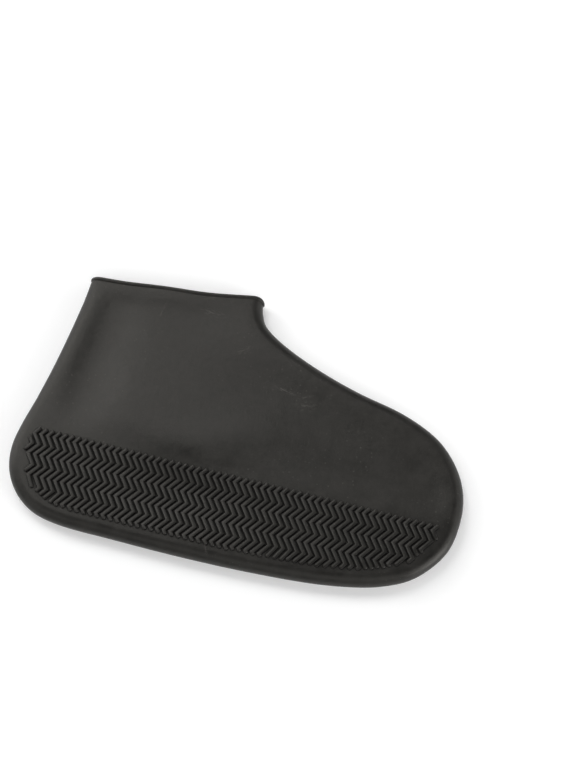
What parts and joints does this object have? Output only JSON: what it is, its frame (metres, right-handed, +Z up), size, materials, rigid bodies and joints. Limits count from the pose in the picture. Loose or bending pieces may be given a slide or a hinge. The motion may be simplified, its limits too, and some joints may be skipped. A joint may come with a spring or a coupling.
{
  "type": "overshoe",
  "caption": "Flat-lying moulded silicone rubber overshoe: thin hollow shell open at the ankle, beaded rim, rounded border and raised herringbone tread along the sole on both sides",
  "frame": {"origin": "middle of the overshoe's outline, on the surface it lies on", "axes": "+X from heel to toe, +Y from sole to mouth, +Z up through the two walls as it lies on its side"},
  "size_m": [0.3, 0.1874, 0.0165],
  "materials": {
    "silicone_rubber": "matt black moulded silicone rubber, faintly mottled, with fine dust"
  },
  "bodies": {
    "root": {"overshoe": "silicone_rubber"}
  },
  "joints": []
}
